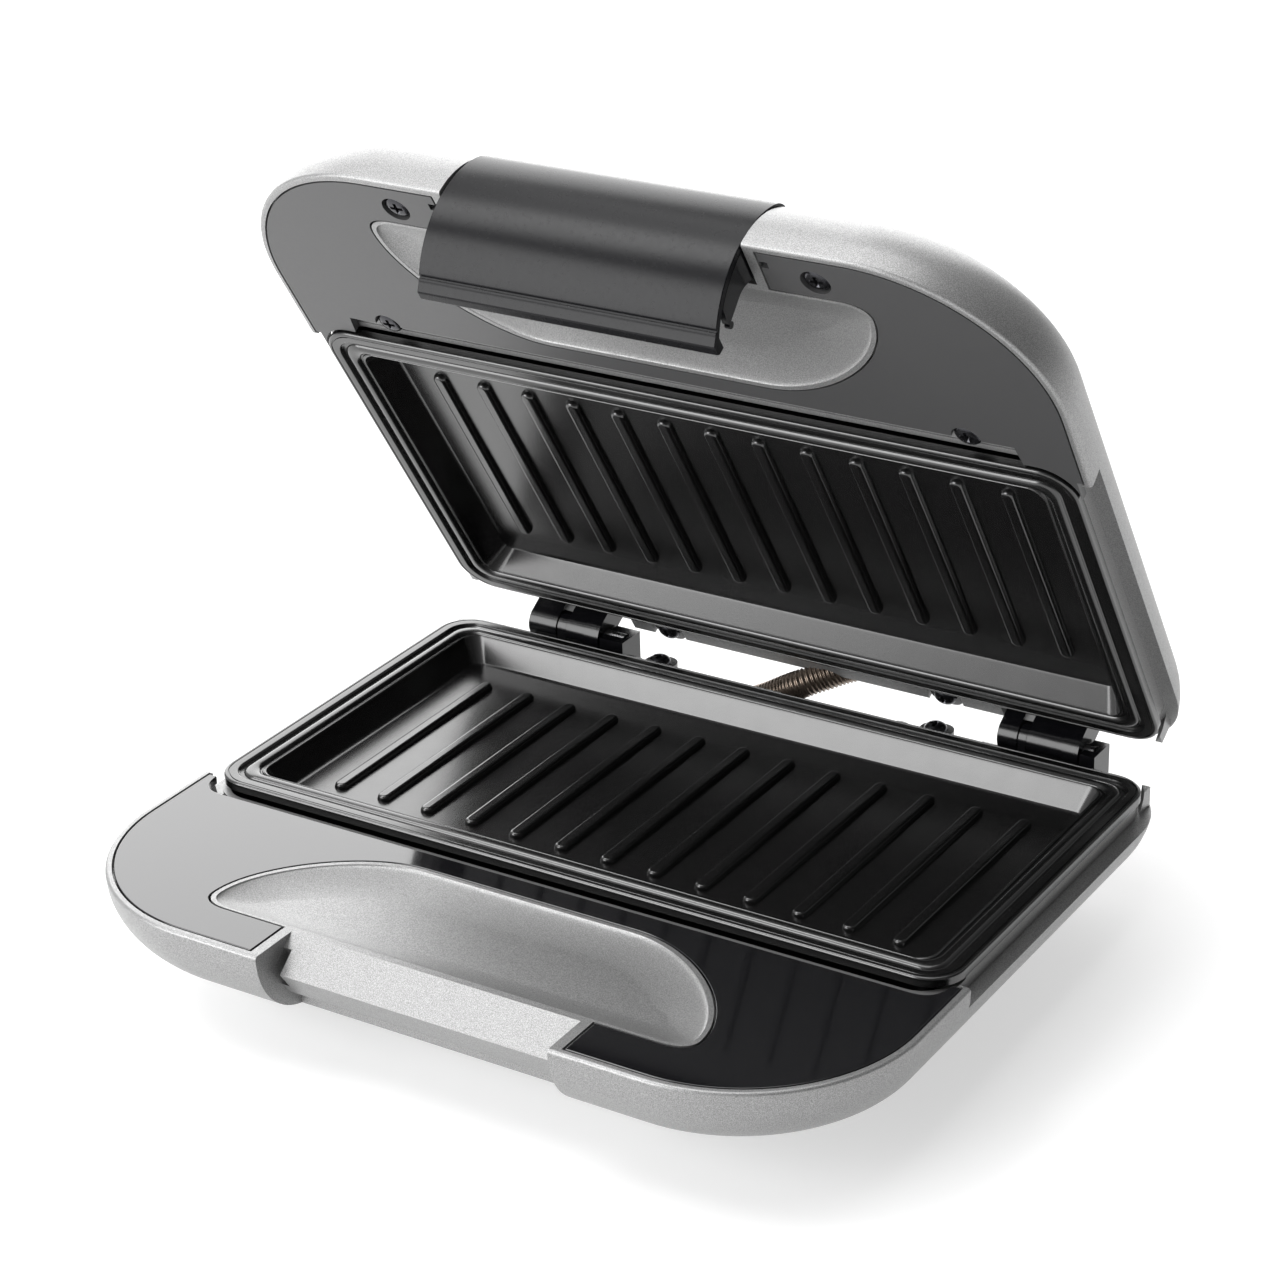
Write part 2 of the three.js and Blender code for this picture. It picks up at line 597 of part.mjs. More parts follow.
const lowerDeck = slab(lowerDeckShape(), LOWER.rim, LOWER.rim + DECK.thick)
  .subtract(slab(polygon(...scoopRing(0)), -5, 20))
  .subtract(box(-NOTCH.deckHalf, NOTCH.deckHalf, -119, -115, -5, 20));
addBase('base_deck', lowerDeck, gloss);
addBase('lower_plate', plate(), nonstick);
addBase('lower_element', element(), steel);
addBase('lower_reflector', reflector(), sheet);
addBase('thermostat', thermostat(), ceramic);
addBase('terminal_block', terminalBlock(), ceramic);
addBase('cord_gland', cordGland(), blackPlastic);
addBase('conduit_lower', tube(lowConduit, CONDUIT_R, 14), sleeve);
FEET.forEach(([x, y], i) => {
  const pad = post(x, y, 8, 8, 32.3, 36.6, 18).add(post(x, y, 8, 7.2, 36.6, 38, 18));
  addBase(`foot_${i + 1}`, pad.add(post(x, y, 3, 3, 29.4, 33, 10)), rubber);
});
HINGES.forEach((hinge) => {
  addBase(`hinge_bracket_${hinge.tag}`, hingeBracket(hinge), blackPlastic);
});
SIDES.forEach(([tag, s]) => {
  addBase(`lower_rear_screw_${tag}`, screw(s * SCREW_X, SCREW_Y, 0.8, 1.9, 3.4, 1.6, 14), blackSteel);
});
SCREW_PLATE.forEach((x, i) => {
  addBase(`lower_plate_screw_${i + 1}`, mirror(screw(x, 0, -23.2, 2, 3.5, 1.5, -14, false)), steel);
});

// Lid, in its closed frame.
const upConduit = mirrorPath(conduitPath(AXIS_UP));
let cover = housing(UPPER, upperNotchOuter, upperNotchInner, false);
cover = cover.subtract(tube(upConduit, CONDUIT_R + 0.4, 14));
DECK_SCREWS.forEach(([x, y]) => {
  cover = cover.add(post(x, y, 3.6, 3.6, 5, 12, 12)).subtract(post(x, y, 1.8, 1.8, 0, 11, 8));
});
LENSES.forEach(([x, y]) => {
  cover = cover.subtract(post(x, y, 4.3, 4.3, 28, 40, 18));
});
cover = cover.subtract(rod(-46.7, 46.7, LATCH.y, LATCH.h, 1.8, 16));
addLid('lid_housing', cover, silver);

let upperDeck = slab(upperDeckShape(), UPPER.rim, UPPER.rim + DECK.thick)
  .subtract(slab(polygon(...scoopRing(0)), -5, 20))
  .subtract(box(-NOTCH.deckHalf, NOTCH.deckHalf, -119, -115, -5, 20));
DECK_SCREWS.forEach(([x, y]) => {
  const seat = post(x, y, 4.1, 4.1, -1, UPPER.rim + 1.7, 14);
  upperDeck = upperDeck.subtract(seat).subtract(post(x, y, 1.9, 1.9, 0, 9, 8));
});
addLid('lid_deck', upperDeck, gloss);
addLid('upper_plate', plate(), nonstick);
addLid('upper_element', element(), steel);
addLid('upper_reflector', reflector(), sheet);
addLid('thermal_fuse', thermalFuse(), ceramic);
addLid('conduit_upper', tube(upConduit, CONDUIT_R, 14), sleeve);
HINGES.forEach((hinge) => {
  const pin = rod(hinge.first[0] + 0.4, hinge.block[1] - 2, HINGE.y, AXIS_UP, 1.8, 16);
  addLid(`hinge_arm_${hinge.tag}`, hingeArm(hinge), blackPlastic);
  addLid(`hinge_pin_${hinge.tag}`, pin, steel);
});
SIDES.forEach(([tag, s]) => {
  addLid(`upper_rear_screw_${tag}`, screw(s * SCREW_X, SCREW_Y, 0.8, 1.9, 3.4, 1.6, 14), blackSteel);
});
SCREW_PLATE.forEach((x, i) => {
  addLid(`upper_plate_screw_${i + 1}`, mirror(screw(x, 0, -23.2, 2, 3.5, 1.5, -14, false)), steel);
});
DECK_SCREWS.forEach(([x, y], i) => {
  addLid(`deck_screw_${i + 1}`, screw(x, y, UPPER.rim + 0.2, 1.2, 3.7, 1.5, 10), blackSteel);
});
LENSES.forEach(([x, y, name, tint]) => {
  addLid(name, post(x, y, 5.6, 5.6, 29.4, 31.2, 18).add(post(x, y, 4, 3.2, 30, 35, 18)), tint);
});

// Latch, turning inside the lid.
half.latch.add(toMesh('latch_cover', latchCover(), grip));
half.latch.add(toMesh('latch_body', latchBody(), blackPlastic));
half.latch.add(toMesh('latch_pin', rod(-46.4, 46.4, LATCH.y, LATCH.h, 1.5, 16), steel));
half.latch.add(toMesh('latch_spring', latchSpring(), steel));
half.lid.add(half.latch);

// The lid turns about the hinge axis; the whole then moves to its base centre.
const hingeAxis = new THREE.Group();
hingeAxis.position.set(0, HINGE.y, -HINGE.h);
hingeAxis.rotation.x = THREE.MathUtils.degToRad(-LID_OPEN);
half.lid.position.set(0, -HINGE.y, HINGE.h);
hingeAxis.add(half.lid);

const press = new THREE.Group();
press.name = 'panini_press';
press.position.set(0, ORIGIN.y, ORIGIN.z);
press.add(half.base, hingeAxis);

export default press;
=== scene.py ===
"""Panini press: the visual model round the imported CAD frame.

Lengths are in millimetres, apart from the camera, the lights and the floor, and names that end
in _M, which are in metres. Each half is drawn in its own frame, where h is the height away from
the plane in which the halves meet. The base is such a half in a mirror.
"""

import json
import math

import bpy
import bmesh
from mathutils import Matrix, Vector


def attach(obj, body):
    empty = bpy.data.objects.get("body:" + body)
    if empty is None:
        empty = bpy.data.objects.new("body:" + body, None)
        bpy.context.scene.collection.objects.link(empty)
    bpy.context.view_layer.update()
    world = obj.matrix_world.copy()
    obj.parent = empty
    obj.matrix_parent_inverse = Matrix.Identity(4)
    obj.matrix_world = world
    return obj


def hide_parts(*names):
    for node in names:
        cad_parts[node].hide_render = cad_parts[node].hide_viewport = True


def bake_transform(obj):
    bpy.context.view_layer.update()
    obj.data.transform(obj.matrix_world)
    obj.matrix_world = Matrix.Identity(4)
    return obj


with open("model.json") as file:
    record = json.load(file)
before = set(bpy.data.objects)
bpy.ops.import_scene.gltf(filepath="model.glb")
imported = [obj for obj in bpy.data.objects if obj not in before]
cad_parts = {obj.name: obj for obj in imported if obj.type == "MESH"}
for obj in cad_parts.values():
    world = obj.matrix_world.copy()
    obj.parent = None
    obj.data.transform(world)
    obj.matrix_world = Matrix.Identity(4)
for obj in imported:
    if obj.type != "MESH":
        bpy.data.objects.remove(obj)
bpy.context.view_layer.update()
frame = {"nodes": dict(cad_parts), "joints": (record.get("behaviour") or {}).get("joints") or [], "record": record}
scene = bpy.context.scene

# ---- the frame's places --------------------------------------------------------------
MM = 0.001
LID_OPEN = math.radians(57.37)
HINGE_Y = 71.54
HINGE_H = 1.3
JOINTS = {joint["name"]: joint for joint in frame["joints"]}
HINGE_M = Vector(JOINTS["lid_hinge"]["pos_m"])
ORIGIN_M = HINGE_M - Vector((0, HINGE_Y * MM, -HINGE_H * MM))

LOWER = Matrix.Translation(ORIGIN_M) @ Matrix.Diagonal((MM, MM, -MM, 1))
UPPER = (
    Matrix.Translation(HINGE_M)
    @ Matrix.Rotation(-LID_OPEN, 4, "X")
    @ Matrix.Diagonal((MM, MM, MM, 1))
    @ Matrix.Translation((0, -HINGE_Y, HINGE_H))
)

# ---- driving sizes -------------------------------------------------------------------
# The plates: half sizes of the rim, and heights of the underside and the pocket's floor.
PLATE_X = 115
PLATE_Y = 61.3
PLATE_BACK = 11.6
POCKET_FLOOR = 8.6
RIB_COUNT = 13
RIB_PITCH = 14.75
RIB_HALF = 38
RIB_R = 2.1

# The housings, and the decks in front of the plates.
SIDE = 119.5
FRONT = -132.5
WALL = 2.5
GAP = 0.3
DECK_X = 117.2
DECK_FRONT = -130
DECK_CORNER = 47
DECK_CORNER_Y = -83
DECK_THICK = 2.4
NOTCH_HALF = 44
NOTCH_DECK = 47.4
NOTCH_Y = -117.5
SCOOP_FRONT = -116.6

# The plates' rear screws and their ears, the latch's axis and its arms.
SCREW_X = 46
SCREW_Y = 66
EAR_HALF = 5
EAR_ROOM = 5.4
LATCH_Y = -121
LATCH_H = 16
PIN_HOLE_R = 1.8
ARM_X = 42.7

# Each half's housing: rim, ledge, rail and hinge_floor are heights, back is its rear in y.
# front, side and rear say how far in and how far up the wall curves, and dome is the top's
# (inset, h) steps.
LOW_HALF = {
    "rim": 1.5, "front": (22, 22), "side": (20, 20), "rear": (10, 20), "back": 74, "ledge": 7.2,
    "rail": 5.1, "hinge_floor": 13.9, "dome": ((26, 27.5), (34, 30.8), (46, 32)),
}
TOP_HALF = {
    "rim": 1.2, "front": (24.5, 24.5), "side": (20, 24.5), "rear": (12, 24.5), "back": 74.5,
    "ledge": 7.2, "rail": 2, "hinge_floor": 13.7, "dome": ((30, 29.6), (40, 32.6), (54, 34)),
}

# The spans in x of each hinge: the lid's two barrels with the base's knuckle between them,
# the lid's flange, and the base's end block.
HINGES = {
    "l": {"first": (-93, -83.3), "knuckle": (-83, -80), "second": (-79.7, -73),
          "flange": (-73, -68), "block": (-67.6, -59.4)},
    "r": {"first": (65, 71), "knuckle": (71.3, 73.7), "second": (74, 85),
          "flange": (85, 90), "block": (90.4, 95)},
}
RAIL = (-58.6, 64.2)

# Places (x, y) in a half, and the gland's x and height.
FEET = ((-62, -76), (62, -76), (-62, 45), (62, 45))
DECK_SCREWS = ((-61.6, -122.3), (61.6, -122.3), (-87.9, -68.6), (87.9, -68.6))
LENSES = (("power_lens", -9, -62), ("ready_lens", 9, -62))
GLAND_X = 30
GLAND_H = 15.5

# The conduit's coil sleeve.
COIL_R = 4.1
COIL_HOLE_R = 4.7
COIL_RIDGE = 0.28
COIL_PITCH = 1.25
COIL_STEPS = 8

# ---- camera --------------------------------------------------------------------------
cam_data = bpy.data.cameras.new("camera")
cam_data.sensor_width = 36
cam_data.lens = 94.747
camera = bpy.data.objects.new("camera", cam_data)
camera.location = (0.43486, -0.67882, 0.4684)
camera.rotation_euler = [math.radians(a) for a in (64.771, 1.4704, 31.802)]
scene.collection.objects.link(camera)
scene.camera = camera


# ---- materials -----------------------------------------------------------------------
def node_material(name, rough, metal=0.0, color=(0.5, 0.5, 0.5), **sockets):
    """A material and its shader; sockets are shader inputs with _ for each space."""
    mat = bpy.data.materials.new(name)
    mat.use_nodes = True
    bsdf = mat.node_tree.nodes["Principled BSDF"]
    bsdf.inputs["Base Color"].default_value = (*color, 1)
    bsdf.inputs["Roughness"].default_value = rough
    bsdf.inputs["Metallic"].default_value = metal
    for key, value in sockets.items():
        bsdf.inputs[key.replace("_", " ")].default_value = value
    return mat, bsdf


def link(mat, a, b):
    mat.node_tree.links.new(a, b)


def noise(mat, scale, detail=3.0, rough=0.5):
    """Noise in the piece's own coordinates; scale is in features per metre."""
    place = mat.node_tree.nodes.new("ShaderNodeTexCoord")
    node = mat.node_tree.nodes.new("ShaderNodeTexNoise")
    node.inputs["Scale"].default_value = scale
    node.inputs["Detail"].default_value = detail
    node.inputs["Roughness"].default_value = rough
    link(mat, place.outputs["Object"], node.inputs["Vector"])
    return node.outputs["Fac"]


def ramp(mat, fac, *stops):
    """Maps fac through (position, grey or colour) stops."""
    node = mat.node_tree.nodes.new("ShaderNodeValToRGB")
    while len(node.color_ramp.elements) < len(stops):
        node.color_ramp.elements.new(0.5)
    for element, (at, value) in zip(node.color_ramp.elements, stops):
        element.position = at
        element.color = (*value, 1) if isinstance(value, tuple) else (value, value, value, 1)
    link(mat, fac, node.inputs["Fac"])
    return node.outputs["Color"]


def bump(mat, bsdf, height, strength, distance):
    node = mat.node_tree.nodes.new("ShaderNodeBump")
    node.inputs["Strength"].default_value = strength
    node.inputs["Distance"].default_value = distance
    link(mat, height, node.inputs["Height"])
    link(mat, node.outputs["Normal"], bsdf.inputs["Normal"])


def silver_paint():
    """Silver paint on plastic, with fine metal flakes."""
    mat, bsdf = node_material("silver_paint", 0.4, 0.6)
    speck = noise(mat, 4200, 1, 0.5)
    link(mat, ramp(mat, speck, (0.3, 0.2), (0.5, 0.3), (0.7, 0.41)), bsdf.inputs["Base Color"])
    link(mat, ramp(mat, noise(mat, 900), (0.3, 0.38), (0.7, 0.46)), bsdf.inputs["Roughness"])
    bump(mat, bsdf, speck, 0.08, 0.00004)
    return mat


def gloss_black():
    """Moulded high-gloss black with a slight waviness."""
    mat, bsdf = node_material("piano_black", 0.08, Coat_Weight=0.5, Coat_Roughness=0.04)
    grain = noise(mat, 700)
    dark = (0.0051, 0.0051, 0.00595)
    light = (0.0069, 0.0069, 0.00805)
    link(mat, ramp(mat, grain, (0.3, dark), (0.7, light)), bsdf.inputs["Base Color"])
    link(mat, ramp(mat, grain, (0.3, 0.072), (0.7, 0.088)), bsdf.inputs["Roughness"])
    bump(mat, bsdf, noise(mat, 25, 1), 0.03, 0.0002)
    return mat


def nonstick_coat():
    """A near-black satin coat with a fine grain."""
    mat, bsdf = node_material("nonstick", 0.24, Specular_IOR_Level=1.0)
    grain = noise(mat, 1500, 3, 0.7)
    link(mat, ramp(mat, noise(mat, 180, 2), (0.3, 0.23), (0.7, 0.25)), bsdf.inputs["Roughness"])
    link(mat, ramp(mat, grain, (0.3, 0.0015), (0.7, 0.004)), bsdf.inputs["Base Color"])
    bump(mat, bsdf, grain, 0.08, 0.00005)
    return mat


def grip_paint():
    """A dark paint with a fine sparkle, duller than the trim."""
    mat, bsdf = node_material("grip_paint", 0.26, Specular_IOR_Level=0.2)
    speck = noise(mat, 3000, 2, 0.6)
    dark = (0.001, 0.001, 0.0016)
    light = (0.004, 0.004, 0.0055)
    link(mat, ramp(mat, speck, (0.3, dark), (0.7, light)), bsdf.inputs["Base Color"])
    link(mat, ramp(mat, noise(mat, 700), (0.3, 0.24), (0.7, 0.28)), bsdf.inputs["Roughness"])
    bump(mat, bsdf, speck, 0.12, 0.00005)
    return mat


def grained(name, color, rough, metal=0.0, scale=900, spread=0.15, strength=0.08):
    """A plain finish with a fine grain in its colour, roughness and surface."""
    mat, bsdf = node_material(name, rough, metal)
    grain = noise(mat, scale)
    low = tuple(c * (1 - spread) for c in color)
    high = tuple(c * (1 + spread) for c in color)
    link(mat, ramp(mat, grain, (0.3, low), (0.7, high)), bsdf.inputs["Base Color"])
    link(mat, ramp(mat, grain, (0.3, rough * 0.9), (0.7, rough * 1.12)), bsdf.inputs["Roughness"])
    bump(mat, bsdf, grain, strength, 0.00008)
    return mat


# One for each material slot of the record, and a greyer copy of the trim for the lid's deck, whose grey is a
# painted reflection.
MATERIALS = {
    "silver_shell": silver_paint(),
    "gloss_trim": gloss_black(),
    # The lid deck's trim: its grey colour is a painted reflection, with a duller finish.
    "reflection_painted_trim": grained("reflection_painted_trim", (0.06, 0.06, 0.061), 0.34, 0, 900, 0.03, 0.02),
    "nonstick": nonstick_coat(),
    "grip": grip_paint(),
    "black_plastic": grained("black_plastic", (0.004, 0.004, 0.005), 0.2),
    "black_steel": grained("black_steel", (0.05, 0.05, 0.055), 0.2, 0.9),
    "steel": grained("bright_steel", (0.5, 0.5, 0.51), 0.28, 1.0, 400),
    "sheet": grained("reflector_sheet", (0.6, 0.6, 0.61), 0.35, 1.0, 300),
    "ceramic": grained("ceramic", (0.7, 0.66, 0.57), 0.5),
    "rubber": grained("rubber", (0.02, 0.02, 0.02), 0.8, 0.0, 1200),
    "conduit": grained("coil_sleeve", (0.2, 0.16, 0.13), 0.28, 0.9, 500),
    "red_lens": grained("red_lens", (0.45, 0.01, 0.006), 0.08, 0.0, 200, 0.1, 0.02),
    "green_lens": grained("green_lens", (0.02, 0.25, 0.05), 0.08, 0.0, 200, 0.1, 0.02),
}

# Every CAD node takes the material of its slot, and pieces look their slot up here.
SLOT_OF = {}
for part in frame["record"]["subparts"]:
    node = frame["nodes"][part["node"]]
    SLOT_OF[part["node"]] = part["material_slot"]
    node.data.materials.clear()
    node.data.materials.append(MATERIALS[part["material_slot"]])


# ---- outlines ------------------------------------------------------------------------
def arc(cx, cy, r, start, end, steps):
    """Points round (cx, cy) from start to end, in degrees."""
    turns = [math.radians(start + (end - start) * k / steps) for k in range(steps + 1)]
    return [(cx + r * math.cos(a), cy + r * math.sin(a)) for a in turns]


def rounded(x, front, back, r_front, r_back, n_front=16, n_back=12):
    """A rectangle from -x to x with its own radius at the front and rear corners."""
    return (
        arc(x - r_back, back - r_back, r_back, 0, 90, n_back)
        + arc(-x + r_back, back - r_back, r_back, 90, 180, n_back)
        + arc(-x + r_front, front + r_front, r_front, 180, 270, n_front)
        + arc(x - r_front, front + r_front, r_front, 270, 360, n_front)
    )


def fillet(corners, steps=5):
    """A closed outline from (x, y, radius) corners."""
    out = []
    for i, (x, y, r) in enumerate(corners):
        p = Vector((x, y))
        if r == 0:
            out.append((x, y))
            continue
        a = (Vector(corners[i - 1][:2]) - p).normalized()
        b = (Vector(corners[(i + 1) % len(corners)][:2]) - p).normalized()
        half = a.angle(b) / 2
        centre = p + (a + b).normalized() * (r / math.sin(half))
        start = p + a * (r / math.tan(half)) - centre
        end = p + b * (r / math.tan(half)) - centre
        first = math.atan2(start.y, start.x)
        turn = (math.atan2(end.y, end.x) - first + math.pi) % (2 * math.pi) - math.pi
        for k in range(steps + 1):
            angle = first + turn * k / steps
            out.append((centre.x + r * math.cos(angle), centre.y + r * math.sin(angle)))
    return out


def bezier(p0, p1, p2, p3, steps):
    """Points on a cubic curve, without its last one."""
    out = []
    for k in range(steps):
        t = k / steps
        w = ((1 - t) ** 3, 3 * t * (1 - t) ** 2, 3 * t * t * (1 - t), t ** 3)
        out.append(tuple(sum(a * p[i] for a, p in zip(w, (p0, p1, p2, p3))) for i in (0, 1)))
    return out


def scoop_ring(k, steps=24):
    """The finger scoop: straight in front, one long curve behind. k pulls it inwards."""
    half = bezier((66, SCOOP_FRONT), (71, SCOOP_FRONT), (74.5, -115), (74.5, -111), 8)
    half += bezier((74.5, -111), (74.5, -94), (52, -73.5), (33, -73.5), steps)
    half.append((33, -73.5))
    points = half + [(-x, y) for x, y in reversed(half)]
    out = []
    for x, y in points:
        dy = y + 100
        reach = math.hypot(x / 75, dy / 20)
        out.append((x - k * x / (75 * reach), y - 0.9 * k * dy / (20 * reach)))
    return out


def deck_outline(edge, middle=None):
    """The deck's sides and front; middle is its edge between the notch's two sides."""
    x = DECK_X + edge
    r = DECK_CORNER + edge
    inner = NOTCH_DECK - edge
    back = NOTCH_Y + 0.5 - edge
    front = DECK_FRONT - edge
    return (
        [(x, -58.5 + edge)]
        + arc(x - r, DECK_CORNER_Y, r, 0, -90, 28)
        + [(inner, front)]
        + (middle or [(inner, back), (-inner, back)])
        + [(-inner, front)]
        + arc(-x + r, DECK_CORNER_Y, r, -90, -180, 28)
        + [(-x, -58.5 + edge)]
    )


def circle(steps):
    """The angles of that many even steps in a turn."""
    return [2 * math.pi * k / steps for k in range(steps)]


# ---- meshes --------------------------------------------------------------------------
def new_object(name, points, faces):
    mesh = bpy.data.meshes.new(name)
    mesh.from_pydata(points, [], faces)
    obj = bpy.data.objects.new(name, mesh)
    scene.collection.objects.link(obj)
    edit(obj, face_outwards)
    return obj


def face_outwards(bm):
    bmesh.ops.recalc_face_normals(bm, faces=bm.faces)
    if bm.calc_volume(signed=True) < 0:
        bmesh.ops.reverse_faces(bm, faces=bm.faces)


def edit(obj, change):
    bm = bmesh.new()
    bm.from_mesh(obj.data)
    change(bm)
    bm.to_mesh(obj.data)
    bm.free()


def skin(name, rings):
    """Rings of equal length, each a list of 3-D points, skinned and capped."""
    n = len(rings[0])
    faces = []
    for k in range(len(rings) - 1):
        for i in range(n):
            a = k * n + i
            b = k * n + (i + 1) % n
            faces.append((a, b, b + n, a + n))
    last = (len(rings) - 1) * n
    faces.append(tuple(range(n - 1, -1, -1)))
    faces.append(tuple(range(last, last + n)))
    return new_object(name, [p for ring in rings for p in ring], faces)


def loft(name, levels):
    """Levels of (plan outline, h)."""
    return skin(name, [[(x, y, h) for x, y in points] for points, h in levels])


def prism(name, outline, h0, h1):
    return loft(name, [(outline, h0), (outline, h1)])


def along_x(name, outline, x0, x1):
    """A (y, h) outline pushed along X."""
    return skin(name, [[(x, y, h) for y, h in outline] for x in (x0, x1)])


def block(name, x0, x1, y0, y1, h0, h1):
    return prism(name, [(x0, y0), (x1, y0), (x1, y1), (x0, y1)], h0, h1)


def post(name, x, y, r, h0, h1, sides=32):
    return prism(name, arc(x, y, r, 0, 360 * (sides - 1) / sides, sides - 1), h0, h1)


def rod(name, x0, x1, y, h, r, sides=32, edge=0.0):
    """A cylinder along X with rounded rims."""
    steps = [(x0, r - edge), (x0 + edge * 0.3, r - edge * 0.3), (x0 + edge, r)]
    steps += [(x1 - edge, r), (x1 - edge * 0.3, r - edge * 0.3), (x1, r - edge)]
    if edge == 0:
        steps = [(x0, r), (x1, r)]
    turns = circle(sides)
    rings = [[(x, y + s * math.cos(a), h + s * math.sin(a)) for a in turns] for x, s in steps]
    return skin(name, rings)


def turned(name, x, y, section, sides=32):
    """A section of (radius, h) pairs turned about an upright axis at (x, y)."""
    turns = circle(sides)
    rings = [[(x + r * math.cos(a), y + r * math.sin(a), h) for a in turns] for r, h in section]
    return skin(name, rings)


def combine(obj, tool, kind):
    """A boolean that uses the tool up."""
    mod = obj.modifiers.new("boolean", "BOOLEAN")
    mod.object = tool
    mod.operation = kind
    mod.solver = "MANIFOLD"
    bake(obj)
    bpy.data.objects.remove(tool)
    return obj


def bake(obj):
    """Applies the object's modifiers."""
    graph = bpy.context.evaluated_depsgraph_get()
    mesh = bpy.data.meshes.new_from_object(obj.evaluated_get(graph))
    obj.modifiers.clear()
    obj.data = mesh


def cut(obj, *tools):
    for tool in tools:
        combine(obj, tool, "DIFFERENCE")
    return obj


def add(obj, *tools):
    for tool in tools:
        combine(obj, tool, "UNION")
    return obj


def meet(obj, tool):
    return combine(obj, tool, "INTERSECT")


def soften(obj, width, segments=3, degrees=40):
    """Rounds every edge that is sharper than that."""
    mod = obj.modifiers.new("bevel", "BEVEL")
    mod.width = width
    mod.segments = segments
    mod.limit_method = "ANGLE"
    mod.angle_limit = math.radians(degrees)
    mod.use_clamp_overlap = True
    bake(obj)
    return obj


def shade(obj, degrees=32):
    """Smooth shading with its sharp edges kept; large faces stay flat."""
    limit = math.radians(degrees)

    def mark(bm):
        bmesh.ops.remove_doubles(bm, verts=bm.verts, dist=1e-4 * MM)
        for face in bm.faces:
            face.smooth = True
        for edge in bm.edges:
            edge.smooth = len(edge.link_faces) == 2 and edge.calc_face_angle() < limit

    edit(obj, mark)
    mod = obj.modifiers.new("normals", "WEIGHTED_NORMAL")
    mod.keep_sharp = True
    mod.weight = 90
    bake(obj)


def piece(obj, matrix, body, node, degrees=32):
    """Moves a finished shape into the row frame, and lets it stand for a CAD node."""
    slot = SLOT_OF[node]
    obj.data.transform(matrix)
    if matrix.determinant() < 0:
        obj.data.flip_normals()
    shade(obj, degrees)
    obj.data.materials.clear()
    obj.data.materials.append(MATERIALS[slot])
    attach(obj, body)
    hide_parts(node)


# ---- the conduit's route --------------------------------------------------------------
# (x, height past the hinge axis, depth in from the axis) in each half; both ends turn inwards.
CONDUIT_DROP = (
    (-40, 13.4, 8), (-34.5, 12.9, 3.2), (-28, 12.3, 1.3),
    (-19.5, 10.6, 1.1), (-12, 7, 0.7), (-6, 3.4, 0.3),
)
CONDUIT_RISE = (
    (6, 4, 0.4), (12, 8, 0.8), (19.5, 11.4, 1.1), (28, 12.5, 1.3), (34.5, 12.8, 3.2), (40, 13, 8),
)


def hole_radius(i, angle):
    """A plain tube with a little room for the conduit."""
    return COIL_HOLE_R


def coil_radius(i, angle):
    """One ridge winds round the tube, COIL_STEPS points of the path to a turn."""
    return COIL_R + COIL_RIDGE * math.cos(i * 2 * math.pi / COIL_STEPS + angle)


def smooth_path(stops, spacing):
    """Evenly spaced points on a Catmull-Rom curve through the stops."""
    ends = [2 * stops[0] - stops[1]] + stops + [2 * stops[-1] - stops[-2]]
    fine = []
    for i in range(1, len(ends) - 2):
        p0, p1, p2, p3 = ends[i - 1:i + 3]
        for k in range(40):
            t = k / 40
            fine.append(0.5 * (2 * p1 + (p2 - p0) * t + (2 * p0 - 5 * p1 + 4 * p2 - p3) * t ** 2
                               + (3 * p1 - p0 - 3 * p2 + p3) * t ** 3))
    fine.append(stops[-1])
    out = [fine[0]]
    for point in fine:
        while (point - out[-1]).length >= spacing:
            out.append(out[-1] + (point - out[-1]).normalized() * spacing)
    return out


def sweep(name, path, radius, sides):
    """A tube along the path; radius(i, angle) is its radius."""
    up = Vector((0, 0, 1))
    rings = []
    for i, point in enumerate(path):
        ahead = (path[min(i + 1, len(path) - 1)] - path[max(i - 1, 0)]).normalized()
        side = ahead.cross(up).normalized()
        up = side.cross(ahead)
        rings.append([
            point + (side * math.cos(a) + up * math.sin(a)) * radius(i, a) for a in circle(sides)
        ])
    return skin(name, rings)


def conduit_stops(stops, axis_h):
    """One half's stops in that half's own frame."""
    return [Vector((x, HINGE_Y - depth, axis_h + d)) for x, d, depth in stops]


def conduit_hole(stops, axis_h):
    return sweep("conduit_hole", smooth_path(conduit_stops(stops, axis_h), 1.5), hole_radius, 20)


# ---- plates --------------------------------------------------------------------------
def plate_section():
    """(inset in x, inset in y, h, corner radius) from the back, over the rim, to the floor."""
    rows = [(10.6, 8.2, PLATE_BACK, 5), (8, 6.6, 3.15, 7), (0.4, 0.4, 3.15, 10), (0, 0, 2.7, 10)]
    # The rim's rounded edge.
    for a in (0, 0.4, 0.8, 1.2, 1.57):
        d = 0.7 - 0.7 * math.cos(a)
        rows.append((d, d, 0.85 - 0.7 * math.sin(a), 10))
    # A fine line round the lip, then the channel.
    line = ((1.05, 0.15), (1.15, 0.4), (1.4, 0.4), (1.5, 0.15))
    channel = ((3.3, 0.15), (3.55, 0.28), (3.75, 1.0), (4.1, 1.3), (4.9, 1.3), (5.2, 1.15))
    rows += [(d, d, h, 10 - d * 0.8) for d, h in line + channel]
    # The bead is half an ellipse.
    for k in range(9):
        a = math.radians(-80 + 20 * k)
        d = 6.95 + 1.6 * math.sin(a)
        rows.append((d, d - 0.1, 1.15 - 1.03 * math.cos(a), 5.6))
    # The inner edge, and the pocket's wall down to its floor.
    rows += [(8.9, 8.4, 1.25, 5), (9.3, 8.6, 1.25, 5), (9.5, 8.7, 0.9, 5), (9.9, 8.85, 0.72, 5)]
    rows += [(10.3, 9.1, 0.85, 5), (10.5, 9.25, 1.4, 5), (13.6, 11.6, 7.6, 3.8)]
    rows += [(13.9, 11.85, 8.2, 3.6), (14.5, 12.4, 8.5, 3.2), (15.3, 13.2, POCKET_FLOOR, 3)]
    return rows


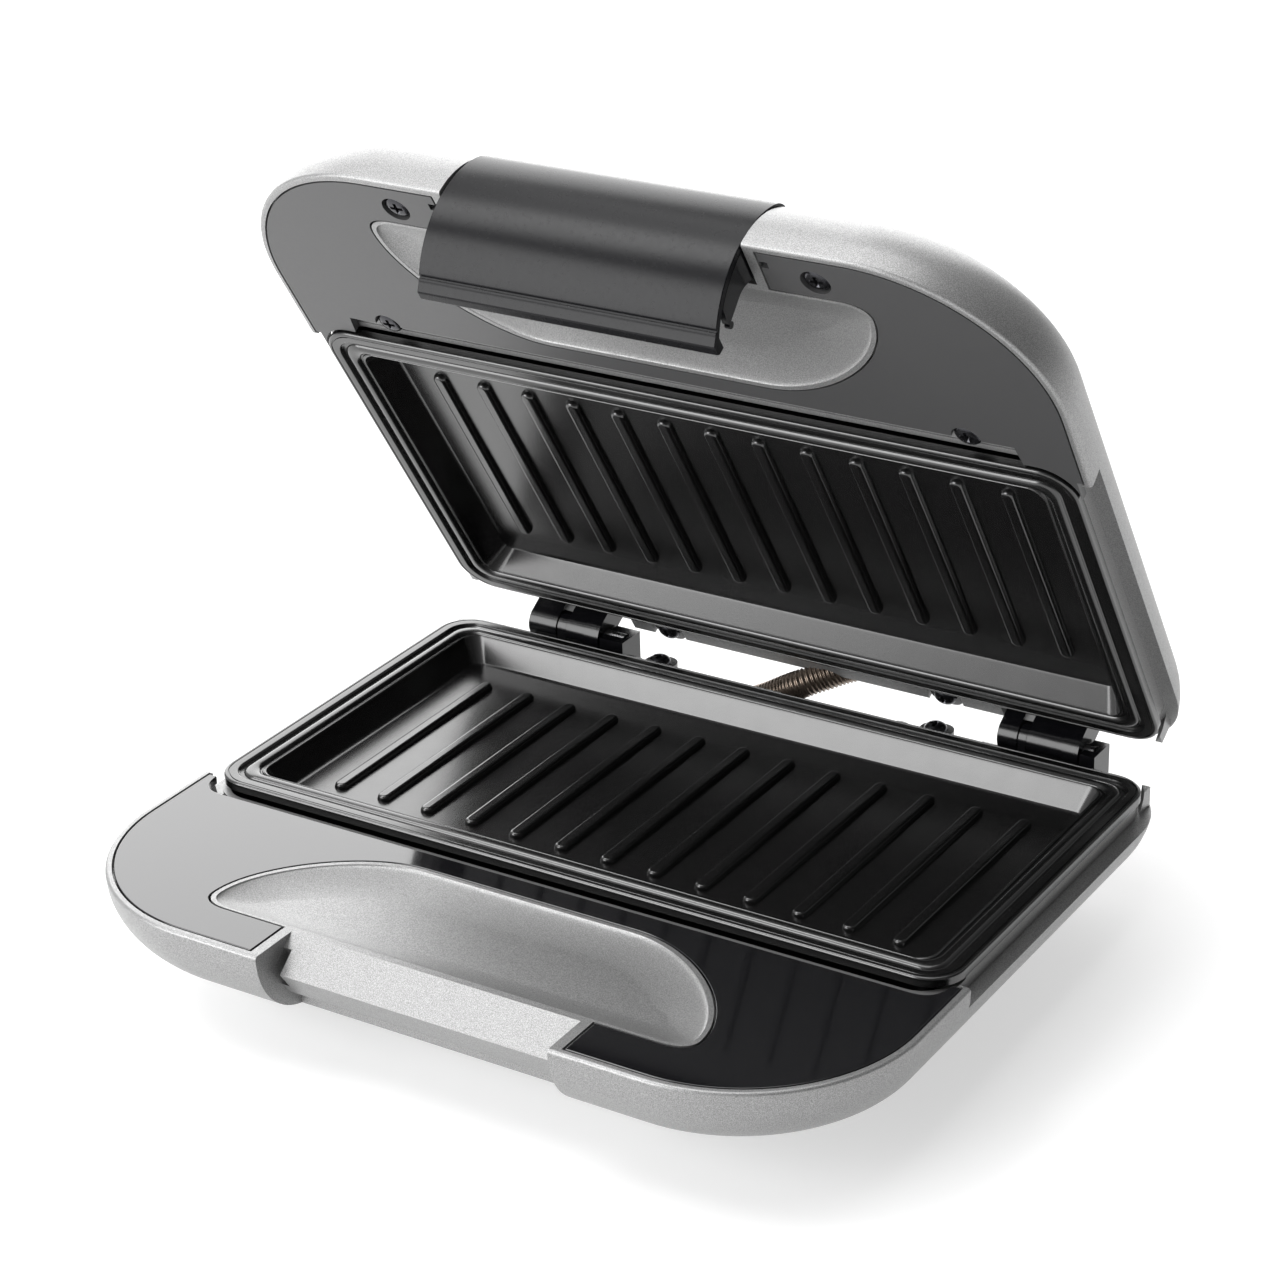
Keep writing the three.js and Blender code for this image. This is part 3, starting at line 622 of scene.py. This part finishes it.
def rib(cx):
    """A rounded rib: (half width, h) from below the pocket's floor to its top."""
    shape = ((2.1, 9.2), (2.1, 8.5), (2.0, 8.1), (1.85, 7.6), (1.6, 7.25), (1.25, 7.05), (0.8, 7.0))
    levels = []
    for r, h in shape:
        end = RIB_HALF + r - RIB_R
        levels.append(([(cx + x, y) for x, y in rounded(r, -end, end, r, r, 6, 6)], h))
    return loft("rib", levels)


def grill_plate(name, matrix, body):
    """A rimmed tray with ribs, and two screwed ears at its rear."""
    levels = []
    for dx, dy, h, r in plate_section():
        levels.append((rounded(PLATE_X - dx, -PLATE_Y + dy, PLATE_Y - dy, r, r, 10, 10), h))
    obj = loft(name + "_piece", levels)
    for i in range(RIB_COUNT):
        add(obj, rib((i - (RIB_COUNT - 1) / 2) * RIB_PITCH))
    for side in (-1, 1):
        x = side * SCREW_X
        corners = [(x - EAR_HALF, 58, 0), (x + EAR_HALF, 58, 0)]
        corners += [(x + EAR_HALF, 71, 4), (x - EAR_HALF, 71, 4)]
        add(obj, prism("ear", fillet(corners), 3, 4.8))
        cut(obj, post("hole", x, SCREW_Y, 1.9, 0, 8, 20))
    piece(obj, matrix, body, name, degrees=28)


grill_plate("lower_plate", LOWER, "base")
grill_plate("upper_plate", UPPER, "lid")


# ---- housings ------------------------------------------------------------------------
def shell(half, inset, lift, top, turns, edge=0.0):
    """One half's outside, set in by inset; its wall curves over, up to a slightly domed top."""
    levels = []

    def level(side, front, rear, h, trim=0.0):
        r_front = max(49.5 - inset - 0.55 * max(front, side), 14) - trim
        r_rear = max(28 - inset - 0.5 * rear, 7) - trim
        x = SIDE - inset - side - trim
        y = FRONT + inset + front + trim
        back = half["back"] - inset - rear - trim
        levels.append((rounded(x, y, back, r_front, r_rear, 28, 14), h))

    if edge:
        for k in range(5):
            a = math.radians(22.5 * k)
            level(0, 0, 0, top + edge * (1 - math.cos(a)), edge * (1 - math.sin(a)))
    else:
        level(0, 0, 0, top)
    for k in range(2 if edge else 0, turns + 1):
        a = math.radians(78 * k / turns)
        side, front, rear = (half[key][0] * (1 - math.cos(a)) for key in ("side", "front", "rear"))
        level(side, front, rear, 2.2 + half["front"][1] * math.sin(a) - lift)
    for reach, h in half["dome"]:
        level(reach, reach, reach * 0.62, h - lift)
    return loft("shell", levels)


def inside(half):
    """What is added to a housing is cut to this, so that it stays behind the outer skin."""
    return shell(half, 0.9, 0.9, half["rim"], 10)


def scoop_cut(rim):
    """A shallow dish, drawn as (inset, depth) steps from its lip to its middle."""
    section = ((2, -5), (2, -0.1), (2.1, 0.2), (2.4, 0.45), (3.2, 0.75), (4.6, 1.1), (6.4, 1.45),
               (8.4, 1.8), (10.6, 2.1), (12.8, 2.35), (15, 2.5), (17, 2.6))
    return loft("scoop", [(scoop_ring(inset), rim + depth) for inset, depth in section])


def scoop_body(rim):
    """The material that stands round the dish."""
    section = ((0.3, 0), (0.6, 3), (5, 5.6), (12, 6.8))
    return loft("scoop_body", [(scoop_ring(inset), rim + depth) for inset, depth in section])


def add_inner_walls(obj, half):
    """The deck's floor, the wall round the plate, and the ledge that the plate stands on."""
    deck_floor = half["rim"] + DECK_THICK + GAP
    floor = prism("floor", deck_outline(1), deck_floor, deck_floor + 2)
    cut(floor, block("front", -130, 130, -64, 0, -10, 20))
    wall = prism("wall", rounded(114.3, -63.6, 61.1, 11, 11), 3.45, 12)
    cut(wall, prism("hollow", rounded(112.2, -61.6, 59, 9, 9), 0, 13))
    ledge_plan = rounded(SIDE - 1, -60, half["back"] - 1, 1, 27)
    ledge = prism("ledge", ledge_plan, half["ledge"], half["ledge"] + 2)
    cut(ledge, prism("hollow", rounded(113.5, -75, 60.3, 10, 10), 0, 20))
    outside = block("outside", -140, 140, -57.6, 140, -6, half["ledge"])
    cut(outside, block("keep", -114.3, 114.3, -60, 61.1, -7, half["ledge"] + 1))
    cut(obj, outside)
    for part in (floor, wall, ledge):
        add(obj, meet(part, inside(half)))


def add_rear_edge(obj, half):
    """A shelf and a window at each hinge, and the rail between them, open behind the conduit."""
    spans = [(hinge["first"][0] - 0.4, hinge["block"][1] + 0.4) for hinge in HINGES.values()]
    floor = half["hinge_floor"]
    for x0, x1 in spans:
        add(obj, meet(block("shelf", x0, x1, 59.2, 74, floor, floor + 2.4), inside(half)))
    add(obj, block("rail", *RAIL, 61.7, 68.6, half["rail"], half["ledge"] + 2))
    add(obj, block("joiner", *RAIL, 60.6, 62, 3.55, half["ledge"] + 2))
    for x0, x1 in spans:
        cut(obj, block("window", x0, x1, 61.4, 80, -5, floor))
    cut(obj, block("slot", -57, 57, 68.6, 90, -5, 8))


def add_front(obj, half, notch_outer, notch_inner):
    """The notch, the recess for the deck and the finger scoop."""
    deck_floor = half["rim"] + DECK_THICK + GAP
    add(obj, meet(scoop_body(half["rim"]), inside(half)))
    side = NOTCH_DECK - 0.35
    add(obj, meet(along_x("notch_wall", notch_inner, -side, side), inside(half)))
    cut(obj, along_x("notch", notch_outer, -NOTCH_HALF, NOTCH_HALF))
    recess = prism("recess", deck_outline(0.55), -5, deck_floor)
    cut(recess, block("keep", -114.45, 114.45, -61.4, 0, -10, 20))
    cut(recess, prism("keep", scoop_ring(0.6), -6, 20))
    cut(recess, block("keep", -46.8, 46.8, -120, -114, -10, 20))
    cut(obj, recess)
    front = block("front", -130, 130, -64.1, -50, -5, deck_floor)
    cut(obj, meet(front, prism("plan", rounded(114.4, -64.1, 61.1, 11.1, 11), -5, deck_floor)))
    cut(obj, scoop_cut(half["rim"]))


def housing(half, notch_outer, notch_inner):
    """A half shell without its own details; the notches are (y, h) outlines, outer and inner."""
    obj = shell(half, 0, 0, half["rim"], 18, 1.0)
    cut(obj, shell(half, WALL, WALL, -5, 8))
    add_inner_walls(obj, half)
    add_rear_edge(obj, half)
    add_front(obj, half, notch_outer, notch_inner)
    for x in (-SCREW_X, SCREW_X):
        add(obj, post("boss", x, SCREW_Y, 4, 5.1, 17))
        cut(obj, block("ear_room", x - EAR_ROOM, x + EAR_ROOM, 55, 72.4, -5, 5.1))
        cut(obj, post("hole", x, SCREW_Y, 1.9, 0, 15, 16))
    return obj


def base_housing():
    """The tub, with a slot on each side of its notch for the latch's catches."""
    notch_outer = (
        (NOTCH_Y, -6), (NOTCH_Y, 1.5), (-126.5, 9), (-120.5, 17.5),
        (-115.4, 17.5), (-115.4, 45), (-145, 45), (-145, -6),
    )
    notch_inner = (
        (-115, 1.5), (-115, 3), (-123.2, 9.6), (-118.6, 15.1),
        (-112.9, 15.1), (-112.9, 45), (-145, 45), (-145, 1.5),
    )
    obj = housing(LOW_HALF, notch_outer, notch_inner)
    pocket = ((-117.1, 2), (-125.8, 9.1), (-121.6, 15), (-113.6, 15), (-113.6, 4.6), (-116.2, 2.4))
    slot = ((-140, 4.2), (-121, 4.2), (-116.6, 10.5), (-116.6, 14.2), (-140, 14.2))
    for x in (-ARM_X, ARM_X):
        add(obj, along_x("latch_pocket", pocket, x - 2.6, x + 2.6))
        cut(obj, along_x("latch_slot", slot, x - 1.25, x + 1.25))
    for x, y in FEET:
        cut(obj, post("foot_hole", x, y, 3.3, 25, 40))
    gland_hole = post("gland_hole", GLAND_X, -GLAND_H, 5.3, 60, 80)
    gland_hole.data.transform(Matrix.Rotation(math.radians(-90), 4, "X"))
    cut(obj, gland_hole)
    cut(obj, conduit_hole(CONDUIT_DROP, HINGE_H))
    piece(obj, LOWER, "base", "base_housing")


def lid_housing():
    """The cover, with bosses for the deck's screws, lens holes and the latch's pin hole."""
    notch_outer = (
        (NOTCH_Y, -6), (NOTCH_Y, 4.4), (-113.6, 8), (-113.6, 22.4),
        (-117.6, 22.4), (-117.6, 45), (-145, 45), (-145, -6),
    )
    notch_inner = ((-115.1, 1.2), (-115.1, 5.4), (-111.2, 9), (-111.2, 45), (-145, 45), (-145, 1.2))
    obj = housing(TOP_HALF, notch_outer, notch_inner)
    for x, y in DECK_SCREWS:
        add(obj, post("boss", x, y, 3.6, 5, 12))
        cut(obj, post("hole", x, y, 1.8, 0, 11, 16))
    for _, x, y in LENSES:
        cut(obj, post("lens_hole", x, y, 4.3, 28, 40))
    cut(obj, rod("pin_hole", -46.7, 46.7, LATCH_Y, LATCH_H, PIN_HOLE_R))
    cut(obj, conduit_hole(CONDUIT_RISE, -HINGE_H))
    piece(obj, UPPER, "lid", "lid_housing")


base_housing()
lid_housing()


# ---- decks ---------------------------------------------------------------------------
ROUND_SCOOP = [(NOTCH_DECK, SCOOP_FRONT)] + scoop_ring(0) + [(-NOTCH_DECK, SCOOP_FRONT)]


def lower_deck_plan():
    """A deck whose rear corners curve in beside the plate."""
    tail = bezier((-114.6, -58.5), (-114.45, -63.8), (-112, -66.4), (-107, -66.4), 10)
    tail.append((-107, -66.4))
    return deck_outline(0, ROUND_SCOOP) + tail + [(-x, y) for x, y in reversed(tail)]


def upper_deck_plan():
    """A deck whose rear edge follows the plate's corners, with a straight slot between them."""
    corner = arc(-PLATE_X + 10, -PLATE_Y + 10, 10.7, 180, 270, 10)
    left = [(-PLATE_X - 0.7, -58.5)] + corner + [(-102, -PLATE_Y - 0.7), (-101, -68.5)]
    return deck_outline(0, ROUND_SCOOP) + left + [(-x, y) for x, y in reversed(left)]


def base_deck():
    rim = LOW_HALF["rim"]
    obj = prism("base_deck_piece", lower_deck_plan(), rim, rim + DECK_THICK)
    soften(obj, 0.3, 3, 50)
    piece(obj, LOWER, "base", "base_deck")


def lid_deck():
    """The lid's deck takes a duller copy of the base's trim; its greyer colour is a painted reflection."""
    rim = TOP_HALF["rim"]
    obj = prism("lid_deck_piece", upper_deck_plan(), rim, rim + DECK_THICK)
    for x, y in DECK_SCREWS:
        cut(obj, post("seat", x, y, 4.1, 0, 2.9, 40), post("hole", x, y, 1.9, 0, 5, 24))
    for x in (-48, 48):
        cut(obj, block("clip_notch", x - 1.6, x + 1.6, -127, -124.8, 0, 5))
    soften(obj, 0.3, 3, 50)
    piece(obj, UPPER, "lid", "lid_deck")
    # The greyer trim paints in the reflection that the lid's deck shows.
    obj.data.materials[0] = MATERIALS["reflection_painted_trim"]


base_deck()
lid_deck()


# ---- latch ---------------------------------------------------------------------------
COVER_Y = -103.2
COVER_H = 2.8
COVER_R = 28.6
COVER_THICK = 1.8
COVER_HALF = 43.6


def latch_cover():
    """A (y, h) outline: a cap over the pin, a long curve with a groove, and a rounded lip."""
    cap = arc(LATCH_Y, LATCH_H, 6.35, 52, 146, 12)
    curve = arc(COVER_Y, COVER_H, COVER_R, 144.5, 226, 44)
    groove = arc(COVER_Y, COVER_H, COVER_R - 0.5, 226.6, 227.6, 1)
    end = arc(COVER_Y, COVER_H, COVER_R, 228.2, 230.5, 2)
    lip = [(-119.9, -21.1, 0.9), (-117.2, -21.1, 0.9), (-116.4, -20.2, 0.4), (-116.4, -17.9, 0)]
    inner = arc(COVER_Y, COVER_H, COVER_R - COVER_THICK, 230.6, 150, 36)
    cap_inner = arc(LATCH_Y, LATCH_H, 4.7, 165, 52, 12)
    sharp = [(y, h, 0) for y, h in cap + curve + groove + end]
    outline = fillet(sharp + lip + [(y, h, 0) for y, h in inner + cap_inner])
    obj = along_x("latch_cover_piece", outline, -COVER_HALF, COVER_HALF)
    soften(obj, 0.4)
    piece(obj, UPPER, "latch", "latch_cover")


def latch_body():
    """The grip's lining, with two arms that carry a boss on the pin and a catch."""
    inner = COVER_R - COVER_THICK - GAP
    lining = arc(COVER_Y, COVER_H, inner, 152, 198, 24)
    lining += arc(COVER_Y, COVER_H, inner - 2, 198, 152, 24)
    edge = [(-118.6, -13.4, 0.8), (-121.6, -4, 6), (-117.4, 9, 8)]
    edge += [(-116.6, 15.4, 2), (-118, 19, 1), (-121, 20.4, 1)]
    arm = fillet([(y, h, 0) for y, h in arc(COVER_Y, COVER_H, inner, 152, 216, 30)] + edge)
    obj = along_x("latch_body_piece", lining, -43.4, 43.4)
    for side in (-1, 1):
        x = side * ARM_X
        boss_end = x - side * 5.8
        add(obj, along_x("arm", arm, x - 0.8, x + 0.8))
        add(obj, rod("boss", min(x - 0.8, boss_end), max(x + 0.8, boss_end), LATCH_Y, LATCH_H, 4.2))
        add(obj, rod("catch", x - 0.75, x + 0.75, -118.0, -12.2, 1.0, 16))
    cut(obj, rod("pin_hole", -50, 50, LATCH_Y, LATCH_H, PIN_HOLE_R))
    soften(obj, 0.15, 2)
    piece(obj, UPPER, "latch", "latch_body")


latch_cover()
latch_body()


# ---- screws --------------------------------------------------------------------------
DECK_SCREW = {"top": 1.4, "head_h": 1.2, "head_r": 3.7, "shank_r": 1.5, "end": 10}
REAR_SCREW = {"top": 0.8, "head_h": 1.9, "head_r": 3.4, "shank_r": 1.6, "end": 14}


def screw(node, x, y, matrix, body, top, head_h, head_r, shank_r, end):
    """A pan-head cross screw: its head starts at h = top, and its shank ends at h = end."""
    seat = top + head_h
    section = [(shank_r, end), (shank_r, seat), (head_r * 0.97, seat), (head_r, seat - 0.12)]
    for k in range(1, 7):
        a = math.radians(15 * k)
        r = head_r * (0.42 + 0.58 * math.cos(a))
        section.append((r, seat - 0.12 - (head_h - 0.12) * math.sin(a)))
    obj = turned(node + "_piece", x, y, section, 40)
    arm = head_r * 0.52
    depth = min(1.1, head_h * 0.8)
    for along, across in ((arm, 0.5), (0.5, arm)):
        corners = ((-along, -across), (along, -across), (along, across), (-along, across))
        wide = [(x + dx, y + dy) for dx, dy in corners]
        narrow = [(x + 0.6 * dx, y + 0.6 * dy) for dx, dy in corners]
        cut(obj, loft("cross", [(wide, top - 0.5), (wide, top + 0.1), (narrow, top + depth)]))
    piece(obj, matrix, body, node, degrees=30)


for i, (x, y) in enumerate(DECK_SCREWS):
    screw(f"deck_screw_{i + 1}", x, y, UPPER, "lid", **DECK_SCREW)
for tag, x in (("l", -SCREW_X), ("r", SCREW_X)):
    screw(f"lower_rear_screw_{tag}", x, SCREW_Y, LOWER, "base", **REAR_SCREW)
    screw(f"upper_rear_screw_{tag}", x, SCREW_Y, UPPER, "lid", **REAR_SCREW)


# ---- hinges --------------------------------------------------------------------------
def hinge_bracket(tag, spans):
    """The base's half: one knuckle between the lid's barrels, and the end block."""
    x0 = spans["first"][0]
    k0, k1 = spans["knuckle"]
    b0, b1 = spans["block"]
    obj = block(f"hinge_bracket_{tag}_piece", x0, b1, 63, 75, 7.6, 13.6)
    add(obj, rod("knuckle", k0, k1, HINGE_Y, HINGE_H, 4.6, 40))
    add(obj, block("web", k0, k1, HINGE_Y - 4.6, HINGE_Y + 3.4, HINGE_H, 8))
    add(obj, block("end", b0, b1, 66.6, 76.6, 0, 9))
    cut(obj, rod("bore", x0 - 1, b1 - 1.6, HINGE_Y, HINGE_H, 2.1))
    soften(obj, 0.35, 3, 50)
    piece(obj, LOWER, "base", f"hinge_bracket_{tag}")


def hinge_arm(tag, spans):
    """The lid's half: two barrels and a flange, joined by a foot."""
    x0 = spans["first"][0]
    x1 = spans["flange"][1]
    obj = block(f"hinge_arm_{tag}_piece", x0, x1, 64.4, HINGE_Y + 2.9, 7.6, 13.4)
    for key, r in (("first", 5), ("second", 5), ("flange", 5.4)):
        a, b = spans[key]
        add(obj, rod(key, a, b, HINGE_Y, -HINGE_H, r, 48))
        add(obj, block("web", a, b, HINGE_Y - r, HINGE_Y + 2.9, -HINGE_H, 8))
    cut(obj, rod("bore", x0 - 1, x1 + 1, HINGE_Y, -HINGE_H, 2.1))
    soften(obj, 0.35, 3, 50)
    piece(obj, UPPER, "lid", f"hinge_arm_{tag}")


for tag, spans in HINGES.items():
    hinge_bracket(tag, spans)
    hinge_arm(tag, spans)


# ---- conduit -------------------------------------------------------------------------
def conduit():
    low = [LOWER @ stop for stop in conduit_stops(CONDUIT_DROP, HINGE_H)]
    top = [UPPER @ stop for stop in conduit_stops(CONDUIT_RISE, -HINGE_H)]
    path = smooth_path([p / MM for p in low + [HINGE_M] + top], COIL_PITCH / COIL_STEPS)
    obj = sweep("conduit", path, coil_radius, 28)
    obj.data.transform(Matrix.Scale(MM, 4))
    shade(obj, 75)
    obj.data.materials.append(MATERIALS["conduit"])
    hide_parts("conduit_lower", "conduit_upper")
    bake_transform(obj)


conduit()


# ---- feet, lenses and gland -----------------------------------------------------------
def foot(node, x, y):
    """A plug in the housing's floor, and a pad with rounded edges and a hollow in its middle."""
    section = [(3, 29.4), (3, 32.3), (8, 32.3), (8, 36.4), (7.8, 37.1), (7.2, 37.7)]
    section += [(6.4, 38), (3.4, 38), (3, 37.6), (2.6, 37.2)]
    piece(turned(node + "_piece", x, y, section, 40), LOWER, "base", node)


def lens(node, x, y):
    """A flanged button with a low dome."""
    section = [(5.6, 29.4), (5.6, 31.2), (4, 31.2), (4, 34.1)]
    section += [(4 * math.cos(a), 34.1 + 0.9 * math.sin(a)) for a in (0.35, 0.7, 1.05, 1.35)]
    piece(turned(node + "_piece", x, y, section, 40), UPPER, "lid", node)


def cord_gland():
    """A flanged ring along Y."""
    turns = circle(32)
    rows = [(5, 64), (5, 74.3), (7, 74.3), (7, 76.2), (6.7, 76.5), (5, 76.5), (5, 77.6), (4.7, 78)]
    rows += [(3.5, 78), (3.2, 77.7), (3.2, 64)]
    rings = []
    for r, y in rows:
        rings.append([(GLAND_X + r * math.cos(a), y, GLAND_H + r * math.sin(a)) for a in turns])
    obj = skin("cord_gland_piece", rings + [rings[0]])
    edit(obj, open_ring)
    piece(obj, LOWER, "base", "cord_gland")


def open_ring(bm):
    """Drops the two end caps of a skin whose last ring meets its first, and joins the seam."""
    bmesh.ops.delete(bm, geom=[f for f in bm.faces if len(f.verts) > 4], context="FACES_ONLY")
    bmesh.ops.remove_doubles(bm, verts=bm.verts, dist=1e-4)
    bmesh.ops.recalc_face_normals(bm, faces=bm.faces)


for i, (x, y) in enumerate(FEET):
    foot(f"foot_{i + 1}", x, y)
for name, x, y in LENSES:
    lens(name, x, y)
cord_gland()


# ---- floor and light, in metres ------------------------------------------------------
FLOOR_HALF_M = 8.0


def pale_floor():
    corners = [(x * FLOOR_HALF_M, y * FLOOR_HALF_M, 0) for x, y in ((-1, -1), (1, -1), (1, 1), (-1, 1))]
    obj = new_object("floor", corners, [(0, 1, 2, 3)])
    glow = {"Emission_Color": (1, 1, 1, 1), "Emission_Strength": 0.5}
    mat, _ = node_material("pale_floor", 0.9, 0.0, (0.6, 0.6, 0.6), **glow)
    obj.data.materials.append(mat)


def studio_world():
    """Soft surroundings, bright to the left and darker to the right."""
    world = bpy.data.worlds.new("studio")
    world.use_nodes = True
    nodes = world.node_tree.nodes
    links = world.node_tree.links
    place = nodes.new("ShaderNodeTexCoord")
    split = nodes.new("ShaderNodeSeparateXYZ")
    links.new(place.outputs["Generated"], split.inputs["Vector"])
    span = nodes.new("ShaderNodeMapRange")
    span.inputs["From Min"].default_value = -0.7
    span.inputs["From Max"].default_value = 0.9
    span.inputs["To Min"].default_value = 0.7
    span.inputs["To Max"].default_value = 0.06
    links.new(split.outputs["X"], span.inputs["Value"])
    links.new(span.outputs["Result"], nodes["Background"].inputs["Strength"])
    nodes["Background"].inputs["Color"].default_value = (1, 1, 1, 1)
    scene.world = world


def softbox(name, at, target, size, power):
    """A rectangular lamp of size (width, height) at one place, turned to the target."""
    data = bpy.data.lights.new(name, "AREA")
    data.shape = "RECTANGLE"
    data.size, data.size_y = size
    data.energy = power
    lamp = bpy.data.objects.new(name, data)
    lamp.location = at
    aim = Vector(target) - Vector(at)
    lamp.rotation_euler = aim.to_track_quat("-Z", "Y").to_euler()
    scene.collection.objects.link(lamp)


pale_floor()
studio_world()
scene.view_settings.view_transform = "Standard"
softbox("front_left", (-0.9, -1.5, 0.7), (0, 0, 0.08), (1.2, 1.3), 29)
softbox("back_left", (-1.0, 1.4, 0.8), (0, 0, 0.05), (2.2, 1.6), 33)
softbox("top", (-0.4, 0.0, 2.2), (0, 0, 0), (1.8, 1.8), 26)
softbox("front_top", (-1.0, -0.5, 1.7), (0, -0.1, 0.05), (0.7, 0.7), 9)
